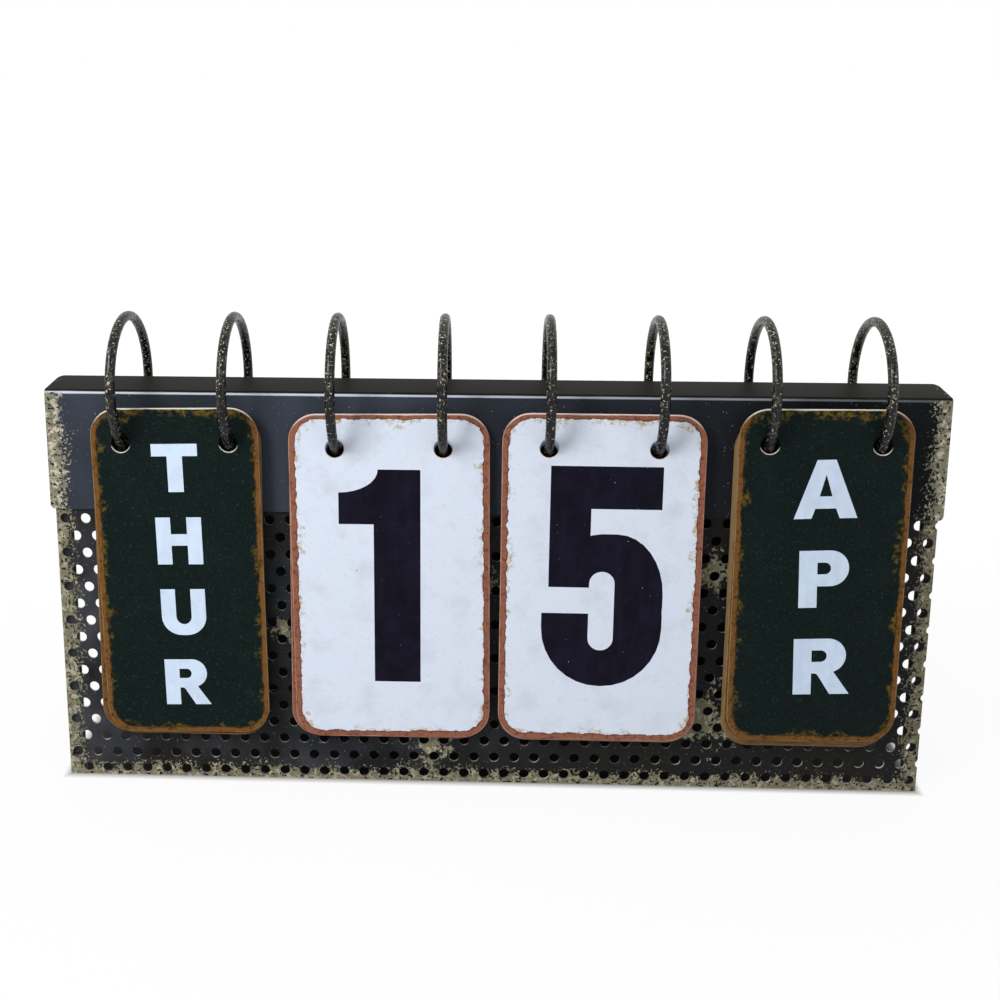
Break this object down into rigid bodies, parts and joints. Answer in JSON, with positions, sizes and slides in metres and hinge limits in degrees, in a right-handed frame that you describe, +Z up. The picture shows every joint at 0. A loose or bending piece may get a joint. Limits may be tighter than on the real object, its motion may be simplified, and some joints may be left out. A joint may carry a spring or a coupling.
{
  "type": "perpetual desk calendar",
  "caption": "Perpetual desk calendar: a folded steel easel with a perforated front and wire rings that carry flip tags for weekday, date and month",
  "frame": {"origin": "on the table, below the middle of the whole calendar's bounding box", "axes": "+X to the right along the ridge, +Y to the back, +Z up; the front faces -Y"},
  "size_m": [0.271, 0.0608, 0.1456],
  "materials": {
    "cap_paint": "satin blue-black",
    "panel_paint": "worn brown-black",
    "ring_wire": "aged black wire",
    "dark_tag": "speckled with rust edge",
    "pale_tag": "mottled with rust edge"
  },
  "bodies": {
    "stand": {"ridge_cap": "cap_paint", "perforated_panel": "panel_paint", "back_panel": "cap_paint"},
    "ring_weekday_left": {"ring_weekday_left": "ring_wire"},
    "ring_weekday_right": {"ring_weekday_right": "ring_wire"},
    "weekday_thu": {"weekday_thu": "dark_tag"},
    "weekday_fri": {"weekday_fri": "dark_tag"},
    "weekday_sat": {"weekday_sat": "dark_tag"},
    "weekday_sun": {"weekday_sun": "dark_tag"},
    "weekday_wed": {"weekday_wed": "dark_tag"},
    "weekday_tue": {"weekday_tue": "dark_tag"},
    "weekday_mon": {"weekday_mon": "dark_tag"},
    "ring_tens_left": {"ring_tens_left": "ring_wire"},
    "ring_tens_right": {"ring_tens_right": "ring_wire"},
    "tens_1": {"tens_1": "pale_tag"},
    "tens_2": {"tens_2": "pale_tag"},
    "tens_3": {"tens_3": "pale_tag"},
    "tens_0": {"tens_0": "pale_tag"},
    "ring_units_left": {"ring_units_left": "ring_wire"},
    "ring_units_right": {"ring_units_right": "ring_wire"},
    "units_5": {"units_5": "pale_tag"},
    "units_6": {"units_6": "pale_tag"},
    "units_7": {"units_7": "pale_tag"},
    "units_8": {"units_8": "pale_tag"},
    "units_9": {"units_9": "pale_tag"},
    "units_4": {"units_4": "pale_tag"},
    "units_3": {"units_3": "pale_tag"},
    "units_2": {"units_2": "pale_tag"},
    "units_1": {"units_1": "pale_tag"},
    "units_0": {"units_0": "pale_tag"},
    "ring_month_left": {"ring_month_left": "ring_wire"},
    "ring_month_right": {"ring_month_right": "ring_wire"},
    "month_apr": {"month_apr": "dark_tag"},
    "month_may": {"month_may": "dark_tag"},
    "month_jun": {"month_jun": "dark_tag"},
    "month_jul": {"month_jul": "dark_tag"},
    "month_aug": {"month_aug": "dark_tag"},
    "month_sep": {"month_sep": "dark_tag"},
    "month_oct": {"month_oct": "dark_tag"},
    "month_nov": {"month_nov": "dark_tag"},
    "month_dec": {"month_dec": "dark_tag"},
    "month_mar": {"month_mar": "dark_tag"},
    "month_feb": {"month_feb": "dark_tag"},
    "month_jan": {"month_jan": "dark_tag"}
  },
  "joints": [
    {"name": "turn_ring_weekday_left", "type": "hinge", "parent": "stand", "child": "ring_weekday_left", "pos_m": [-0.1114, 0.0013, 0.12346], "axis": [-1, 0, 0], "range_deg": [0, 266.14]},
    {"name": "turn_ring_weekday_right", "type": "hinge", "parent": "stand", "child": "ring_weekday_right", "pos_m": [-0.0788, 0.0013, 0.12346], "axis": [-1, 0, 0], "continuous": true},
    {"name": "flip_weekday_thu", "type": "hinge", "parent": "ring_weekday_left", "child": "weekday_thu", "pos_m": [-0.0951, -0.01368, 0.10946], "axis": [-1, 0, 0], "range_deg": [0, 71.07]},
    {"name": "riffle_weekday_fri", "type": "hinge", "parent": "stand", "child": "weekday_fri", "pos_m": [-0.0951, -0.01249, 0.1083], "axis": [-1, 0, 0], "range_deg": [0, 3.6]},
    {"name": "riffle_weekday_sat", "type": "hinge", "parent": "stand", "child": "weekday_sat", "pos_m": [-0.0951, -0.01129, 0.10728], "axis": [-1, 0, 0], "range_deg": [0, 2.4]},
    {"name": "riffle_weekday_sun", "type": "hinge", "parent": "stand", "child": "weekday_sun", "pos_m": [-0.0951, -0.01006, 0.1064], "axis": [-1, 0, 0], "range_deg": [0, 1.21]},
    {"name": "riffle_weekday_wed", "type": "hinge", "parent": "stand", "child": "weekday_wed", "pos_m": [-0.0951, 0.01509, 0.1083], "axis": [1, 0, 0], "range_deg": [0, 3.6]},
    {"name": "riffle_weekday_tue", "type": "hinge", "parent": "stand", "child": "weekday_tue", "pos_m": [-0.0951, 0.01389, 0.10728], "axis": [1, 0, 0], "range_deg": [0, 2.4]},
    {"name": "riffle_weekday_mon", "type": "hinge", "parent": "stand", "child": "weekday_mon", "pos_m": [-0.0951, 0.01266, 0.1064], "axis": [1, 0, 0], "range_deg": [0, 1.21]},
    {"name": "turn_ring_tens_left", "type": "hinge", "parent": "stand", "child": "ring_tens_left", "pos_m": [-0.0472, 0.0013, 0.12346], "axis": [-1, 0, 0], "range_deg": [0, 283.25]},
    {"name": "turn_ring_tens_right", "type": "hinge", "parent": "stand", "child": "ring_tens_right", "pos_m": [-0.0146, 0.0013, 0.12346], "axis": [-1, 0, 0], "continuous": true},
    {"name": "flip_tens_1", "type": "hinge", "parent": "ring_tens_left", "child": "tens_1", "pos_m": [-0.0309, -0.01187, 0.10775], "axis": [-1, 0, 0], "range_deg": [0, 56.35]},
    {"name": "riffle_tens_2", "type": "hinge", "parent": "stand", "child": "tens_2", "pos_m": [-0.0309, -0.01097, 0.10704], "axis": [-1, 0, 0], "range_deg": [0, 2.4]},
    {"name": "riffle_tens_3", "type": "hinge", "parent": "stand", "child": "tens_3", "pos_m": [-0.0309, -0.01006, 0.1064], "axis": [-1, 0, 0], "range_deg": [0, 1.21]},
    {"name": "riffle_tens_0", "type": "hinge", "parent": "stand", "child": "tens_0", "pos_m": [-0.0309, 0.01266, 0.1064], "axis": [1, 0, 0], "range_deg": [0, 1.21]},
    {"name": "turn_ring_units_left", "type": "hinge", "parent": "stand", "child": "ring_units_left", "pos_m": [0.017, 0.0013, 0.12346], "axis": [-1, 0, 0], "range_deg": [0, 267.69]},
    {"name": "turn_ring_units_right", "type": "hinge", "parent": "stand", "child": "ring_units_right", "pos_m": [0.0496, 0.0013, 0.12346], "axis": [-1, 0, 0], "continuous": true},
    {"name": "flip_units_5", "type": "hinge", "parent": "ring_units_left", "child": "units_5", "pos_m": [0.0333, -0.01311, 0.10888], "axis": [-1, 0, 0], "range_deg": [0, 67.11]},
    {"name": "riffle_units_6", "type": "hinge", "parent": "stand", "child": "units_6", "pos_m": [0.0333, -0.01236, 0.10818], "axis": [-1, 0, 0], "range_deg": [0, 4.8]},
    {"name": "riffle_units_7", "type": "hinge", "parent": "stand", "child": "units_7", "pos_m": [0.0333, -0.0116, 0.10753], "axis": [-1, 0, 0], "range_deg": [0, 3.6]},
    {"name": "riffle_units_8", "type": "hinge", "parent": "stand", "child": "units_8", "pos_m": [0.0333, -0.01084, 0.10694], "axis": [-1, 0, 0], "range_deg": [0, 2.4]},
    {"name": "riffle_units_9", "type": "hinge", "parent": "stand", "child": "units_9", "pos_m": [0.0333, -0.01006, 0.1064], "axis": [-1, 0, 0], "range_deg": [0, 1.21]},
    {"name": "riffle_units_4", "type": "hinge", "parent": "stand", "child": "units_4", "pos_m": [0.0333, 0.01571, 0.10888], "axis": [1, 0, 0], "range_deg": [0, 6]},
    {"name": "riffle_units_3", "type": "hinge", "parent": "stand", "child": "units_3", "pos_m": [0.0333, 0.01496, 0.10818], "axis": [1, 0, 0], "range_deg": [0, 4.8]},
    {"name": "riffle_units_2", "type": "hinge", "parent": "stand", "child": "units_2", "pos_m": [0.0333, 0.0142, 0.10753], "axis": [1, 0, 0], "range_deg": [0, 3.6]},
    {"name": "riffle_units_1", "type": "hinge", "parent": "stand", "child": "units_1", "pos_m": [0.0333, 0.01344, 0.10694], "axis": [1, 0, 0], "range_deg": [0, 2.4]},
    {"name": "riffle_units_0", "type": "hinge", "parent": "stand", "child": "units_0", "pos_m": [0.0333, 0.01266, 0.1064], "axis": [1, 0, 0], "range_deg": [0, 1.21]},
    {"name": "turn_ring_month_left", "type": "hinge", "parent": "stand", "child": "ring_month_left", "pos_m": [0.0812, 0.0013, 0.12346], "axis": [-1, 0, 0], "range_deg": [0, 262.88]},
    {"name": "turn_ring_month_right", "type": "hinge", "parent": "stand", "child": "ring_month_right", "pos_m": [0.1138, 0.0013, 0.12346], "axis": [-1, 0, 0], "continuous": true},
    {"name": "flip_month_apr", "type": "hinge", "parent": "ring_month_left", "child": "month_apr", "pos_m": [0.0975, -0.01566, 0.11195], "axis": [-1, 0, 0], "range_deg": [0, 74.33]},
    {"name": "riffle_month_may", "type": "hinge", "parent": "stand", "child": "month_may", "pos_m": [0.0975, -0.015, 0.11103], "axis": [-1, 0, 0], "range_deg": [0, 9.61]},
    {"name": "riffle_month_jun", "type": "hinge", "parent": "stand", "child": "month_jun", "pos_m": [0.0975, -0.01432, 0.11019], "axis": [-1, 0, 0], "range_deg": [0, 8.4]},
    {"name": "riffle_month_jul", "type": "hinge", "parent": "stand", "child": "month_jul", "pos_m": [0.0975, -0.01363, 0.10942], "axis": [-1, 0, 0], "range_deg": [0, 7.21]},
    {"name": "riffle_month_aug", "type": "hinge", "parent": "stand", "child": "month_aug", "pos_m": [0.0975, -0.01294, 0.10871], "axis": [-1, 0, 0], "range_deg": [0, 6]},
    {"name": "riffle_month_sep", "type": "hinge", "parent": "stand", "child": "month_sep", "pos_m": [0.0975, -0.01223, 0.10806], "axis": [-1, 0, 0], "range_deg": [0, 4.8]},
    {"name": "riffle_month_oct", "type": "hinge", "parent": "stand", "child": "month_oct", "pos_m": [0.0975, -0.01151, 0.10746], "axis": [-1, 0, 0], "range_deg": [0, 3.6]},
    {"name": "riffle_month_nov", "type": "hinge", "parent": "stand", "child": "month_nov", "pos_m": [0.0975, -0.01079, 0.10691], "axis": [-1, 0, 0], "range_deg": [0, 2.4]},
    {"name": "riffle_month_dec", "type": "hinge", "parent": "stand", "child": "month_dec", "pos_m": [0.0975, -0.01006, 0.1064], "axis": [-1, 0, 0], "range_deg": [0, 1.21]},
    {"name": "riffle_month_mar", "type": "hinge", "parent": "stand", "child": "month_mar", "pos_m": [0.0975, 0.01411, 0.10746], "axis": [1, 0, 0], "range_deg": [0, 3.6]},
    {"name": "riffle_month_feb", "type": "hinge", "parent": "stand", "child": "month_feb", "pos_m": [0.0975, 0.01339, 0.10691], "axis": [1, 0, 0], "range_deg": [0, 2.4]},
    {"name": "riffle_month_jan", "type": "hinge", "parent": "stand", "child": "month_jan", "pos_m": [0.0975, 0.01266, 0.1064], "axis": [1, 0, 0], "range_deg": [0, 1.21]}
  ],
  "couplings": [
    {"joint": "flip_weekday_thu", "follows": "turn_ring_weekday_left", "ratio": 0.26701},
    {"joint": "riffle_weekday_fri", "follows": "turn_ring_weekday_left", "ratio": 0.013527},
    {"joint": "riffle_weekday_sat", "follows": "turn_ring_weekday_left", "ratio": 0.0090178},
    {"joint": "riffle_weekday_sun", "follows": "turn_ring_weekday_left", "ratio": 0.0045089},
    {"joint": "riffle_weekday_wed", "follows": "turn_ring_weekday_left", "ratio": 0.013527},
    {"joint": "riffle_weekday_tue", "follows": "turn_ring_weekday_left", "ratio": 0.0090178},
    {"joint": "riffle_weekday_mon", "follows": "turn_ring_weekday_left", "ratio": 0.0045089},
    {"joint": "flip_tens_1", "follows": "turn_ring_tens_left", "ratio": 0.19893},
    {"joint": "riffle_tens_2", "follows": "turn_ring_tens_left", "ratio": 0.008473},
    {"joint": "riffle_tens_3", "follows": "turn_ring_tens_left", "ratio": 0.0042365},
    {"joint": "riffle_tens_0", "follows": "turn_ring_tens_left", "ratio": 0.0042365},
    {"joint": "flip_units_5", "follows": "turn_ring_units_left", "ratio": 0.25068},
    {"joint": "riffle_units_6", "follows": "turn_ring_units_left", "ratio": 0.017931},
    {"joint": "riffle_units_7", "follows": "turn_ring_units_left", "ratio": 0.013448},
    {"joint": "riffle_units_8", "follows": "turn_ring_units_left", "ratio": 0.0089654},
    {"joint": "riffle_units_9", "follows": "turn_ring_units_left", "ratio": 0.0044827},
    {"joint": "riffle_units_4", "follows": "turn_ring_units_left", "ratio": 0.022414},
    {"joint": "riffle_units_3", "follows": "turn_ring_units_left", "ratio": 0.017931},
    {"joint": "riffle_units_2", "follows": "turn_ring_units_left", "ratio": 0.013448},
    {"joint": "riffle_units_1", "follows": "turn_ring_units_left", "ratio": 0.0089654},
    {"joint": "riffle_units_0", "follows": "turn_ring_units_left", "ratio": 0.0044827},
    {"joint": "flip_month_apr", "follows": "turn_ring_month_left", "ratio": 0.28273},
    {"joint": "riffle_month_may", "follows": "turn_ring_month_left", "ratio": 0.036519},
    {"joint": "riffle_month_jun", "follows": "turn_ring_month_left", "ratio": 0.031954},
    {"joint": "riffle_month_jul", "follows": "turn_ring_month_left", "ratio": 0.027389},
    {"joint": "riffle_month_aug", "follows": "turn_ring_month_left", "ratio": 0.022824},
    {"joint": "riffle_month_sep", "follows": "turn_ring_month_left", "ratio": 0.018259},
    {"joint": "riffle_month_oct", "follows": "turn_ring_month_left", "ratio": 0.013695},
    {"joint": "riffle_month_nov", "follows": "turn_ring_month_left", "ratio": 0.0091297},
    {"joint": "riffle_month_dec", "follows": "turn_ring_month_left", "ratio": 0.0045649},
    {"joint": "riffle_month_mar", "follows": "turn_ring_month_left", "ratio": 0.013695},
    {"joint": "riffle_month_feb", "follows": "turn_ring_month_left", "ratio": 0.0091297},
    {"joint": "riffle_month_jan", "follows": "turn_ring_month_left", "ratio": 0.0045649}
  ]
}
